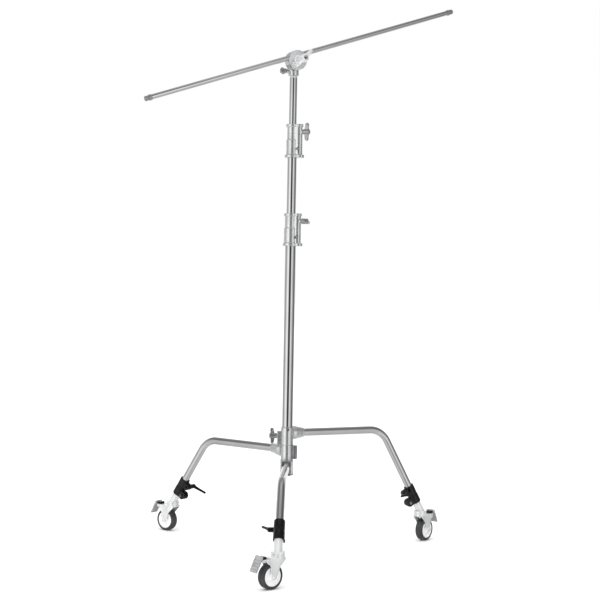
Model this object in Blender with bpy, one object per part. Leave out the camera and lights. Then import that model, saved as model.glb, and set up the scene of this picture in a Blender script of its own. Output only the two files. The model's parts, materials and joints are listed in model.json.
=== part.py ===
"""Wheeled C stand: folding three-leg base, two-stage riser, grip head and grip arm. Metres, +Z up."""

import math

import bmesh
import bpy
from mathutils import Matrix, Vector

GAP = 0.0003  # clearance between touching pieces
ROOT = Matrix.Translation((-0.027, 0.097, 0.0))  # puts the foot of the bounding box's centre at the origin
STEPS = 16  # sides of a large round piece
FEW = 8  # sides of a small round piece
WHEEL_STEPS = 24

LEG_AZIMUTH = {"right": 23.8, "left": 141.8, "front": -92.3}  # degrees, seen from above
LEG_HEIGHT = {"right": 0.386, "left": 0.332, "front": 0.281}  # centreline at the hub
TRAIL_AZIMUTH = {"right": 51.9, "left": 144.0, "front": 218.7}
LEVER_DROOP = {"right": 0.0, "left": 34.0, "front": 0.0}
LEG_R = 0.0125
LEG_WALL = 0.0016
LEG_START = 0.0245
CORNER_X = 0.345
BEND_R = 0.075
BEND_STEPS = 5
SWIVEL_X = 0.500
MITRE_Z = 0.1050
CLAMP_S = 0.067  # clamp centre, measured up the slanted axis from the swivel point
CLAMP_HALF = 0.032
STEM_R = 0.0135
BOLT_OFF = 0.0245  # clamp bolt axes, off the tube axis
LUG_HALF = 0.0110
LEVER_Z = 0.0170
BOLT_Z = -0.0195

POST_R = 0.0147
POST_BORE = 0.0115
SLEEVE_R = 0.0205
SOCKET_TOP = 0.4060
SOCKET_FLOOR = 0.3550
SPLIT_1 = 0.3470
SPLIT_2 = 0.2990
HUB_BOTTOM = 0.2555
NUT_BOTTOM = 0.2475
COLUMN_LOCK_Z = 0.3770
COLUMN_LOCK_AZ = 188.0
LOCK_AZ = -18.0
LUG_REACH = 0.0500  # the front leg lies between two lugs, out to here

BASE_R, BASE_BORE = 0.0175, 0.0155
MID_R, MID_BORE = 0.0150, 0.0131
TOP_R, TOP_BORE = 0.0125, 0.0109
BASE_TOP = 1.0640
MID_BOTTOM, MID_TOP = 0.5600, 1.3500
TOP_BOTTOM, TOP_TOP = 0.7000, 1.5350
COLLARS = {
    "lower": dict(z0=0.992, z1=1.097, step=1.050, upper=0.0200, lower=0.0225, flange=0.0260,
                  top_flange=0.0235, bore_low=BASE_R, bore_high=MID_R, lip=BASE_TOP, handle=1.072, turn=82.0),
    "upper": dict(z0=1.277, z1=1.385, step=1.335, upper=0.0175, lower=0.0198, flange=0.0248,
                  top_flange=0.0215, bore_low=MID_R, bore_high=TOP_R, lip=MID_TOP, handle=1.360, turn=-4.0),
}
COLLAR_AZ = -22.0
EAR_X = 0.0290
EAR_HALF = 0.0115

STUD_R = 0.00795
STUD_TOP = 1.5790
HEAD_Z = 1.5890
HEAD_YAW = 26.0  # degrees, the arm's heading seen from above
DISC_R = 0.0315
BODY_A = (-0.0040, 0.0090)  # extents along the clamp axis, from the stud axis
REAR_JAW_A = (0.0093, 0.0205)
FRONT_JAW_A = (0.0235, 0.0325)
ARM_A = 0.0220
ARM_OFF = 0.0138  # arm centreline, off the clamp axis
ARM_SLOPE = 19.2
ARM_R, ARM_BORE = 0.0080, 0.0062
ARM_LEFT, ARM_RIGHT = -0.538, 0.6255
CAP_LENGTH = 0.022
GRIP_BOLT_R = 0.0048
GRIP_TURN = 46.0
STUD_LOCK_Z = 1.5570
STUD_LOCK_AZ = 186.0

TYRE_R = 0.0375
RIM_R = 0.0285
TYRE_HALF = 0.0140
TRAIL = 0.0270
AXLE_R = 0.0040
FORK_IN, FORK_OUT = 0.0165, 0.0190
PIVOT = (0.0460, 0.0840)

MATERIALS = {
    "chrome": ((0.78, 0.78, 0.80), 0.12, 1.0),
    "cast": ((0.72, 0.73, 0.74), 0.38, 1.0),
    "zinc": ((0.80, 0.81, 0.82), 0.32, 1.0),
    "steel": ((0.35, 0.35, 0.37), 0.35, 1.0),
    "black": ((0.025, 0.025, 0.027), 0.48, 0.0),
    "rubber": ((0.06, 0.06, 0.065), 0.70, 0.0),
    "white": ((0.86, 0.86, 0.85), 0.42, 0.0),
    "grey": ((0.42, 0.43, 0.44), 0.50, 0.6),
}


def material(key):
    found = bpy.data.materials.get(key)
    if found:
        return found
    colour, roughness, metallic = MATERIALS[key]
    made = bpy.data.materials.new(key)
    made.use_nodes = True
    shader = made.node_tree.nodes["Principled BSDF"]
    shader.inputs["Base Color"].default_value = (*colour, 1.0)
    shader.inputs["Roughness"].default_value = roughness
    shader.inputs["Metallic"].default_value = metallic
    return made


def about_z(degrees):
    return Matrix.Rotation(math.radians(degrees), 4, "Z")


def at(x=0.0, y=0.0, z=0.0):
    return Matrix.Translation((x, y, z))


ALONG_X = Matrix.Rotation(math.radians(90), 4, "Y")  # turns local +Z into +X
ALONG_Y = Matrix.Rotation(math.radians(-90), 4, "X")  # turns local +Z into +Y


def lathe(profile, steps, turn=None, hollow=False):
    """A solid turned about local Z from (radius, height) points. A hollow profile closes on itself."""
    bm = bmesh.new()
    rings = []
    for radius, height in profile:
        if radius < 1e-7:
            rings.append([bm.verts.new((0.0, 0.0, height))])
            continue
        angles = [2 * math.pi * k / steps for k in range(steps)]
        rings.append([bm.verts.new((radius * math.cos(a), radius * math.sin(a), height)) for a in angles])
    pairs = list(zip(rings, rings[1:]))
    if hollow:
        pairs.append((rings[-1], rings[0]))
    for one, two in pairs:
        for k in range(steps):
            n = (k + 1) % steps
            corners = [one[k % len(one)], one[n % len(one)], two[n % len(two)], two[k % len(two)]]
            unique = list(dict.fromkeys(corners))
            if len(unique) > 2:
                bm.faces.new(unique)
    if not hollow:
        for ring in (rings[0], rings[-1]):
            if len(ring) > 1:
                bm.faces.new(ring)
    if turn:
        bmesh.ops.transform(bm, matrix=turn, verts=bm.verts)
    return bm


def rod(radius, low, high, steps=FEW, turn=None):
    return lathe([(0.0, low), (radius, low), (radius, high), (0.0, high)], steps, turn)


def bore(radius, low, high, steps=FEW, turn=None):
    """A cutter whose flats clear a round piece of this radius, turned off the grid of that piece's corners."""
    return rod((radius + GAP) / math.cos(math.pi / steps), low, high, steps, (turn or at()) @ about_z(7.0))


def slab(outline, low, high, turn=None):
    """A prism from an outline in local XY, between two heights."""
    bm = bmesh.new()
    below = [bm.verts.new((x, y, low)) for x, y in outline]
    above = [bm.verts.new((x, y, high)) for x, y in outline]
    bm.faces.new(below)
    bm.faces.new(above)
    for k in range(len(outline)):
        n = (k + 1) % len(outline)
        bm.faces.new((below[k], below[n], above[n], above[k]))
    if turn:
        bmesh.ops.transform(bm, matrix=turn, verts=bm.verts)
    return bm


def block(x0, x1, y0, y1, z0, z1, turn=None):
    return slab([(x0, y0), (x1, y0), (x1, y1), (x0, y1)], z0, z1, turn)


def swept_tube(points, outer, inner, steps):
    """A tube along a path in the local XZ plane, square ended."""
    bm = bmesh.new()
    side = Vector((0.0, 1.0, 0.0))
    loops = []
    for k, point in enumerate(points):
        before = (point - points[k - 1]).normalized() if k else None
        after = (points[k + 1] - point).normalized() if k + 1 < len(points) else None
        tangent = ((before or after) + (after or before)).normalized()
        up = tangent.cross(side).normalized()
        stretch = 1.0 / max(0.5, tangent.dot(after or before))
        for radius, store in ((outer, 0), (inner, 1)):
            ring = []
            for j in range(steps):
                a = 2 * math.pi * j / steps
                offset = side * (radius * math.cos(a)) + up * (radius * stretch * math.sin(a))
                ring.append(bm.verts.new(point + offset))
            loops.append((store, ring))
    outside = [ring for store, ring in loops if store == 0]
    inside = [ring for store, ring in loops if store == 1]
    for skin in (outside, inside):
        for one, two in zip(skin, skin[1:]):
            for j in range(steps):
                n = (j + 1) % steps
                bm.faces.new((one[j], one[n], two[n], two[j]))
    for end in (0, -1):
        for j in range(steps):
            n = (j + 1) % steps
            bm.faces.new((outside[end][j], outside[end][n], inside[end][n], inside[end][j]))
    return bm


def place(name, bm, frame, key=None):
    """Puts a mesh in the scene. Without a material key it is a hidden tool for a Boolean."""
    bmesh.ops.recalc_face_normals(bm, faces=bm.faces)
    mesh = bpy.data.meshes.new(name)
    bm.to_mesh(mesh)
    bm.free()
    made = bpy.data.objects.new(name, mesh)
    bpy.context.scene.collection.objects.link(made)
    made.matrix_world = ROOT @ frame
    if key:
        mesh.materials.append(material(key))
        mesh.shade_smooth()
        mesh.set_sharp_from_angle(angle=math.radians(32))
    else:
        made.hide_render = True
        made.display_type = "WIRE"
    return made


def shape(target, frame, *steps):
    """Adds and cuts, in order: ("UNION" or "DIFFERENCE", mesh)."""
    for number, (operation, bm) in enumerate(steps):
        tool = place(f"tool.{target.name}.{number}", bm, frame)
        modifier = target.modifiers.new(f"{operation.lower()}.{number}", "BOOLEAN")
        modifier.operation = operation
        modifier.solver = "EXACT"
        modifier.object = tool
    return target


def arc(cx, cy, radius, start, stop, count):
    angles = [math.radians(start + (stop - start) * k / (count - 1)) for k in range(count)]
    return [(cx + radius * math.cos(a), cy + radius * math.sin(a)) for a in angles]


def t_handle(name, frame, tip, face, hub_end, bar, turn, size=1.0):
    """A T-handle screw on local +X: shank from tip to face, hub to hub_end, wings along local Z."""
    frame = frame @ Matrix.Rotation(math.radians(turn), 4, "X")
    hub_r = 0.0088 * size
    start = face + 2 * GAP
    profile = [
        (0.0, tip), (0.0036, tip), (0.0036, start), (hub_r * 0.85, start), (hub_r, start + 0.003),
        (hub_r, hub_end - 0.002), (hub_r - 0.002, hub_end), (0.0, hub_end),
    ]
    made = place(name, lathe(profile, FEW, ALONG_X), frame, "cast")
    mid = hub_end - 0.0095 * size
    half = 0.0070 * size
    outline = [(mid - half, 0.0), (mid - half * 0.75, bar - 0.005)]
    outline += arc(mid + half * 0.1, bar - half * 0.8, half * 0.8, 160, 20, 5)
    outline += [(mid + half, 0.0)]
    outline += [(x, -y) for x, y in reversed(outline[1:-1])]
    upright = Matrix.Rotation(math.radians(90), 4, "X")
    wing = slab(outline, -0.0042 * size, 0.0042 * size, upright)
    return shape(made, frame, ("UNION", wing))


def leg_frame(which):
    return about_z(LEG_AZIMUTH[which])


def slant(which):
    """The tilt of the leg's lower run from vertical, in radians."""
    return math.atan2(SWIVEL_X - CORNER_X, LEG_HEIGHT[which] - MITRE_Z)


def clamp_frame(which):
    """Origin at the clamp's centre, +Z up the tube, +X off its inner side."""
    tilt = slant(which)
    up = Vector((-math.sin(tilt), 0.0, math.cos(tilt)))
    inward = Vector((-math.cos(tilt), 0.0, -math.sin(tilt)))
    across = up.cross(inward)
    origin = Vector((SWIVEL_X, 0.0, MITRE_Z)) + up * CLAMP_S
    basis = Matrix((inward, across, up)).transposed().to_4x4()
    return leg_frame(which) @ Matrix.Translation(origin) @ basis


def leg_tube(which):
    tilt = slant(which)
    height = LEG_HEIGHT[which]
    turn = math.pi / 2 - tilt
    run = BEND_R * math.tan(turn / 2)
    points = [Vector((LEG_START, 0.0, height))]
    for k in range(BEND_STEPS + 1):
        a = turn * k / BEND_STEPS
        x = CORNER_X - run + BEND_R * math.sin(a)
        z = height - BEND_R * (1 - math.cos(a))
        points.append(Vector((x, 0.0, z)))
    up = Vector((-math.sin(tilt), 0.0, math.cos(tilt)))
    points.append(Vector((SWIVEL_X, 0.0, MITRE_Z)) + up * (CLAMP_S + 0.0015))
    tube = swept_tube(points, LEG_R, LEG_R - LEG_WALL, STEPS)
    return place(f"leg_{which}", tube, leg_frame(which), "chrome")


def leg_bell(height, root, length):
    """The flared socket that a leg is pushed into, along local X."""
    profile = [(0.0, 0.0135), (root, 0.0135), (root, 0.0265), (root * 0.93, 0.0320), (0.0165, length - 0.006),
               (0.0150, length), (0.0, length)]
    return lathe(profile, STEPS, at(0, 0, height) @ ALONG_X)


def leg_bore(height):
    return bore(LEG_R, LEG_START - GAP, 0.08, STEPS, at(0, 0, height) @ ALONG_X)


def build_hub():
    right = leg_frame("right")
    top = SOCKET_TOP
    low = SPLIT_1 + GAP
    profile = [(0.0, low), (SLEEVE_R, low), (SLEEVE_R, top - 0.003), (SLEEVE_R - 0.0010, top), (0.0, top)]
    socket = place("base_socket", lathe(profile, STEPS), right, "cast")
    lock = about_z(COLUMN_LOCK_AZ - LEG_AZIMUTH["right"])
    screw = about_z(-84.0 - LEG_AZIMUTH["right"])
    shape(
        socket, right,
        ("UNION", leg_bell(LEG_HEIGHT["right"], 0.0218, 0.056)),
        ("UNION", block(0.0, 0.0335, -0.0085, 0.0085, low + 0.001, 0.3925, lock)),
        ("DIFFERENCE", bore(BASE_R, SOCKET_FLOOR, top + 0.01, STEPS)),
        ("DIFFERENCE", bore(POST_R, low - 0.01, SOCKET_FLOOR + 0.01, STEPS)),
        ("DIFFERENCE", leg_bore(LEG_HEIGHT["right"])),
        ("DIFFERENCE", bore(0.0036, 0.010, 0.05, FEW, lock @ at(0, 0, COLUMN_LOCK_Z) @ ALONG_X)),
        ("DIFFERENCE", bore(0.0025, 0.010, 0.05, FEW, screw @ at(0, 0, 0.3985) @ ALONG_X)),
    )
    screw_profile = [
        (0.0, BASE_R + 2 * GAP), (0.0025, BASE_R + 2 * GAP), (0.0025, SLEEVE_R + GAP), (0.0045, SLEEVE_R + GAP),
        (0.0045, 0.0240), (0.0024, 0.0246), (0.0020, 0.0230), (0.0, 0.0230),
    ]
    place("socket_screw", lathe(screw_profile, FEW, ALONG_X), about_z(-84.0) @ at(0, 0, 0.3985), "steel")
    t_handle("column_lock_handle", about_z(COLUMN_LOCK_AZ) @ at(0, 0, COLUMN_LOCK_Z), BASE_R + 2 * GAP,
             0.0335, 0.0585, 0.0255, 14.0)
    post = [(POST_BORE, NUT_BOTTOM), (POST_R, NUT_BOTTOM), (POST_R, SOCKET_FLOOR - GAP),
            (POST_BORE, SOCKET_FLOOR - GAP)]
    place("hub_post", lathe(post, STEPS, None, True), at(), "steel")
    nut = [(0.0, NUT_BOTTOM + 0.0010), (0.0200, NUT_BOTTOM + 0.0010), (0.0210, NUT_BOTTOM + 0.0022),
           (0.0210, HUB_BOTTOM - GAP), (0.0, HUB_BOTTOM - GAP)]
    shape(place("hub_nut", lathe(nut, 6), at(), "steel"), at(), ("DIFFERENCE", bore(POST_R, 0.2, 0.3, STEPS)))

    left = leg_frame("left")
    over = 0.002
    middle = [(0.0, SPLIT_2 + GAP), (SLEEVE_R, SPLIT_2 + GAP), (SLEEVE_R, SPLIT_1 + over),
              (0.0, SPLIT_1 + over)]
    sleeve = place("middle_sleeve", lathe(middle, STEPS), left, "cast")
    shape(
        sleeve, left,
        ("UNION", leg_bell(LEG_HEIGHT["left"], 0.0245, 0.060)),
        ("DIFFERENCE", bore(POST_R, 0.25, 0.42, STEPS)),
        ("DIFFERENCE", leg_bore(LEG_HEIGHT["left"])),
        ("DIFFERENCE", block(-0.1, 0.1, -0.1, 0.1, SPLIT_1, 0.42)),
    )
    spot = about_z(LOCK_AZ) @ at(0.0250, 0, 0)
    lock_profile = [(0.0, 0.3030), (0.0078, 0.3030), (0.0090, 0.3042), (0.0090, 0.3452), (0.0078, 0.3464),
                    (0.0, 0.3464)]
    housing = place("fold_lock_housing", lathe(lock_profile, FEW), spot, "steel")
    shape(housing, spot, ("DIFFERENCE", bore(SLEEVE_R, 0.25, 0.42, STEPS, at(-0.0250, 0, 0))))

    front = leg_frame("front")
    outer = SLEEVE_R + 0.001
    bottom = [(0.0, HUB_BOTTOM), (outer - 0.001, HUB_BOTTOM), (outer, HUB_BOTTOM + 0.001),
              (outer, SPLIT_2 + over), (0.0, SPLIT_2 + over)]
    sleeve = place("bottom_sleeve", lathe(bottom, STEPS), front, "cast")
    shape(
        sleeve, front,
        ("UNION", block(0.0, LUG_REACH, -0.0185, 0.0185, HUB_BOTTOM + 0.0020, SPLIT_2 - 0.0020)),
        ("DIFFERENCE", block(LEG_START + 0.0010, 0.1, -LEG_R - 0.0006, LEG_R + 0.0006, 0.2, 0.4)),
        ("DIFFERENCE", bore(POST_R, 0.20, 0.42, STEPS)),
        ("DIFFERENCE", leg_bore(LEG_HEIGHT["front"])),
        ("DIFFERENCE", block(-0.1, 0.1, -0.1, 0.1, SPLIT_2, 0.42)),
    )


def build_leg_end(which):
    frame = clamp_frame(which)
    top, low = CLAMP_HALF, -CLAMP_HALF
    narrow, wide = [(r + GAP) / math.cos(math.pi / STEPS) for r in (LEG_R, STEM_R)]
    profile = [(0.0, low), (0.0172, low), (0.0172, -0.0035), (0.0160, -0.0025), (0.0160, 0.0025),
               (0.0168, 0.0035), (0.0168, top), (0.0, top)]
    clamp = place(f"clamp_{which}", lathe(profile, STEPS), frame, "black")
    upper = arc(BOLT_OFF, LEVER_Z, 0.0098, 75, -75, 6)
    upper = [(0.008, 0.0270)] + upper + [(0.008, 0.0070)]
    flip = Matrix.Rotation(math.radians(90), 4, "X")
    lower = [(0.008, -0.0310)] + arc(BOLT_OFF, BOLT_Z, 0.0138, -80, 80, 7) + [(0.008, -0.0080)]
    inside = [(0.0, -0.06), (wide, -0.06), (wide, 0.0), (narrow, 0.0), (narrow, 0.06), (0.0, 0.06)]
    shape(
        clamp, frame,
        ("UNION", slab(upper, -LUG_HALF, LUG_HALF, flip)),
        ("UNION", slab(lower, -LUG_HALF, LUG_HALF, flip)),
        ("DIFFERENCE", lathe(inside, STEPS, about_z(7.0))),
        ("DIFFERENCE", bore(0.0036, -0.03, 0.03, FEW, at(BOLT_OFF, 0, LEVER_Z) @ ALONG_Y)),
        ("DIFFERENCE", bore(0.0030, -0.03, 0.03, FEW, at(BOLT_OFF, 0, BOLT_Z) @ ALONG_Y)),
        ("DIFFERENCE", block(0.004, 0.06, -0.0010, 0.0010, -0.06, 0.06)),
    )
    bolt = [(0.0, -0.0180), (0.0042, -0.0180), (0.0052, -0.0170), (0.0052, -LUG_HALF - GAP),
            (0.0030, -LUG_HALF - GAP), (0.0030, LUG_HALF + GAP), (0.0058, LUG_HALF + GAP), (0.0058, 0.0158),
            (0.0, 0.0158)]
    place(f"clamp_bolt_{which}", lathe(bolt, 6, ALONG_Y), frame @ at(BOLT_OFF, 0, BOLT_Z), "steel")

    tilt = math.degrees(slant(which))
    droop = Matrix.Rotation(math.radians(LEVER_DROOP[which] - tilt), 4, "Y")
    hinge = frame @ at(BOLT_OFF, 0, LEVER_Z) @ droop
    face = LUG_HALF + GAP
    boss = [(0.0, -0.0155), (0.0036, -0.0155), (0.0036, face), (0.0066, face), (0.0078, face + 0.003),
            (0.0074, 0.0330), (0.0050, 0.0355), (0.0, 0.0355)]
    lever = place(f"ratchet_lever_{which}", lathe(boss, FEW, ALONG_Y), hinge, "black")
    reach = Matrix.Rotation(math.radians(31), 4, "Z")
    grip = [(0.0, -0.003), (0.0058, -0.001), (0.0048, 0.012), (0.0040, 0.040), (0.0040, 0.0465),
            (0.0022, 0.0490), (0.0, 0.0490)]
    shape(lever, hinge, ("UNION", lathe(grip, FEW, at(0, 0.0280, 0) @ reach @ ALONG_X)))

    swivel = leg_frame(which) @ at(SWIVEL_X, 0, 0)
    up = Vector((-math.sin(slant(which)), 0.0, math.cos(slant(which))))
    lean = at(0, 0, MITRE_Z) @ Vector((0, 0, 1)).rotation_difference(up).to_matrix().to_4x4()
    race = [(0.0, 0.0800), (0.0042, 0.0800), (0.0050, 0.0810), (0.0050, 0.0985), (0.0205, 0.0985),
            (0.0215, 0.0995), (0.0215, 0.1035), (0.0200, MITRE_Z), (0.0, MITRE_Z)]
    stem = place(f"caster_stem_{which}", lathe(race, STEPS), swivel, "zinc")
    tube = lathe([(0.0114, -0.030), (STEM_R, -0.030), (STEM_R, CLAMP_S - 0.0015), (0.0114, CLAMP_S - 0.0015)],
                 STEPS, lean, True)
    foot = block(-0.05, 0.05, -0.05, 0.05, 0.02, MITRE_Z - 0.0010)
    trimmed = shape(place(f"tool.stem_tube_{which}", tube, swivel), swivel, ("DIFFERENCE", foot))
    joined = stem.modifiers.new("tube", "BOOLEAN")
    joined.operation = "UNION"
    joined.solver = "EXACT"
    joined.object = trimmed


def build_caster(which):
    frame = leg_frame(which) @ at(SWIVEL_X, 0, 0) @ about_z(TRAIL_AZIMUTH[which] - LEG_AZIMUTH[which])
    cup = [(0.0, 0.0865), (0.0205, 0.0865), (0.0205, 0.0968), (0.0190, 0.0982), (0.0, 0.0982)]
    fork = place(f"fork_{which}", lathe(cup, STEPS), frame, "zinc")
    wheel_z = TYRE_R
    outline = [(-0.0150, 0.0900), (-0.0120, 0.0820), (0.0060, 0.0640)]
    outline += arc(TRAIL, wheel_z, 0.0085, 200, 355, 7)
    outline += [(0.0370, 0.0620), (0.0420, 0.0730), (0.0520, 0.0785), (0.0530, 0.0880), (0.0480, 0.0900)]
    flip = Matrix.Rotation(math.radians(90), 4, "X")
    shape(
        fork, frame,
        ("UNION", block(-0.0150, 0.0330, -0.0186, 0.0186, 0.0868, 0.0903)),
        ("UNION", slab(outline, FORK_IN, FORK_OUT, flip)),
        ("UNION", slab(outline, -FORK_OUT, -FORK_IN, flip)),
        ("DIFFERENCE", bore(0.0050, 0.05, 0.12, STEPS)),
        ("DIFFERENCE", bore(AXLE_R, -0.03, 0.03, FEW, at(TRAIL, 0, wheel_z) @ ALONG_Y)),
        ("DIFFERENCE", bore(0.0025, -0.03, 0.03, FEW, at(PIVOT[0], 0, PIVOT[1]) @ ALONG_Y)),
    )
    hub = frame @ at(TRAIL, 0, wheel_z)
    axle = [(0.0, -0.0235), (0.0060, -0.0235), (0.0068, -0.0225), (0.0068, -FORK_OUT - GAP),
            (AXLE_R, -FORK_OUT - GAP), (AXLE_R, FORK_OUT + GAP), (0.0068, FORK_OUT + GAP), (0.0068, 0.0225),
            (0.0060, 0.0235), (0.0, 0.0235)]
    place(f"axle_{which}", lathe(axle, 6, ALONG_Y), hub, "steel")
    face = 0.0125
    inner = (AXLE_R + GAP) / math.cos(math.pi / WHEEL_STEPS)
    rim = [(inner, -0.0155), (0.0090, -0.0155), (0.0095, -0.0105), (0.0240, -face), (RIM_R - GAP, -face),
           (RIM_R - GAP, face), (0.0240, face), (0.0095, 0.0105), (0.0090, 0.0155), (inner, 0.0155)]
    place(f"wheel_hub_{which}", lathe(rim, WHEEL_STEPS, ALONG_Y, True), hub, "white")
    tyre = [(RIM_R, -0.0125), (0.0335, -TYRE_HALF), (TYRE_R, -0.0085), (TYRE_R, 0.0085), (0.0335, TYRE_HALF),
            (RIM_R, 0.0125)]
    place(f"tyre_{which}", lathe(tyre, WHEEL_STEPS, ALONG_Y, True), hub, "rubber")

    pivot = frame @ at(PIVOT[0], 0, PIVOT[1])
    plate = [(0.0180, 0.0150), (0.0215, 0.0165), (0.0245, 0.0140)]
    for k in range(5):
        x, z = 0.0262 + 0.0040 * k, 0.0096 - 0.0080 * k
        plate += [(x + 0.0012, z + 0.0006), (x + 0.0026, z - 0.0042), (x + 0.0014, z - 0.0048)]
    plate += [(0.0430, -0.0290), (0.0400, -0.0285), (0.0215, 0.0080), (0.0180, 0.0040)]
    pedal = place(f"brake_pedal_{which}", slab(plate, -0.0150, 0.0150, flip), pivot, "grey")
    core = [(-0.0040, -0.0040), (0.0190, -0.0030), (0.0190, 0.0130), (0.0010, 0.0130), (-0.0040, 0.0040)]
    shape(
        pedal, pivot,
        ("UNION", slab(core, -0.0110, 0.0110, flip)),
        ("UNION", rod(0.0025, -0.0186, 0.0186, FEW, ALONG_Y)),
    )


def build_collar(which, spec):
    frame = about_z(COLLAR_AZ)
    z0, z1, step = spec["z0"], spec["z1"], spec["step"]
    profile = [
        (0.0, z0), (spec["flange"], z0), (spec["flange"], z0 + 0.009),
        (spec["lower"], z0 + 0.0105), (spec["lower"], step - 0.001), (spec["upper"], step + 0.001),
        (spec["upper"], z1 - 0.0095), (spec["top_flange"], z1 - 0.0085), (spec["top_flange"], z1), (0.0, z1),
    ]
    collar = place(f"{which}_collar", lathe(profile, STEPS), frame, "cast")
    ear = [(0.0, -EAR_HALF), (EAR_X - 0.004, -EAR_HALF)] + arc(EAR_X - 0.005, 0, EAR_HALF, -60, 60, 5)
    ear += [(EAR_X - 0.004, EAR_HALF), (0.0, EAR_HALF)]
    reach = EAR_X + 0.0065
    screw_z = (z0 + step) / 2 - 0.001
    shape(
        collar, frame,
        ("UNION", slab([(x - 0.0015, y) for x, y in ear], z0 + 0.004, z1 - 0.004)),
        ("UNION", slab([(x + 0.0045, y * 1.15) for x, y in ear], z0, z0 + 0.0090)),
        ("UNION", slab([(x + 0.0010, y * 1.1) for x, y in ear], z1 - 0.0088, z1)),
        ("UNION", rod(0.0078, 0.01, reach, FEW, at(0, 0, spec["handle"]) @ ALONG_X)),
        ("DIFFERENCE", bore(spec["bore_low"], z0 - 0.01, spec["lip"] + GAP, STEPS)),
        ("DIFFERENCE", bore(spec["bore_high"], spec["lip"] - 0.001, z1 + 0.01, STEPS)),
        ("DIFFERENCE", bore(0.0036, 0.005, 0.06, FEW, at(0, 0, spec["handle"]) @ ALONG_X)),
        ("DIFFERENCE", bore(0.0030, -0.03, 0.03, FEW, at(0.0245, 0, screw_z) @ ALONG_Y)),
        ("DIFFERENCE", block(0.004, 0.06, -0.0009, 0.0009, z0 - 0.01, step)),
    )
    screw = [(0.0, -0.0175), (0.0046, -0.0175), (0.0054, -0.0165), (0.0054, -EAR_HALF - 0.0022),
             (0.0030, -EAR_HALF - 0.0022), (0.0030, EAR_HALF), (0.0, EAR_HALF)]
    place(f"{which}_collar_screw", lathe(screw, 6, ALONG_Y), frame @ at(0.0245, 0, screw_z), "steel")
    tip = spec["bore_high"] + 2 * GAP
    spot = frame @ at(0, 0, spec["handle"])
    t_handle(f"{which}_collar_handle", spot, tip, reach, reach + 0.0235, 0.0290, spec["turn"])


def build_column():
    tubes = (
        ("base_column", BASE_R, BASE_BORE, SOCKET_FLOOR + GAP, BASE_TOP),
        ("middle_riser", MID_R, MID_BORE, MID_BOTTOM, MID_TOP),
        ("top_riser", TOP_R, TOP_BORE, TOP_BOTTOM, TOP_TOP),
    )
    for name, outer, bore, low, high in tubes:
        profile = [(bore, low), (outer, low), (outer, high), (bore, high)]
        place(name, lathe(profile, STEPS, None, True), at(), "chrome")
    for which, spec in COLLARS.items():
        build_collar(which, spec)
    stud = [(0.0, 1.5100), (0.0100, 1.5100), (TOP_BORE - GAP, 1.5112), (TOP_BORE - GAP, TOP_TOP + GAP),
            (TOP_R, TOP_TOP + GAP), (TOP_R, 1.5385), (0.0105, 1.5403), (STUD_R, 1.5403), (STUD_R, 1.5560),
            (0.0068, 1.5575), (0.0068, 1.5635), (STUD_R, 1.5650), (STUD_R, STUD_TOP - 0.0012),
            (STUD_R - 0.0012, STUD_TOP), (0.0, STUD_TOP)]
    place("top_stud", lathe(stud, STEPS), at(), "zinc")


def head_frame():
    return at(0, 0, HEAD_Z) @ about_z(HEAD_YAW)


def disc(span, radius, steps=STEPS):
    """A round plate about the clamp axis, which is local -Y."""
    a0, a1 = span
    edge = 0.0012
    profile = [(0.0, a0), (radius - edge, a0), (radius, a0 + edge), (radius, a1 - edge), (radius - edge, a1),
               (0.0, a1)]
    return lathe(profile, steps, Matrix.Rotation(math.radians(90), 4, "X"))


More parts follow.
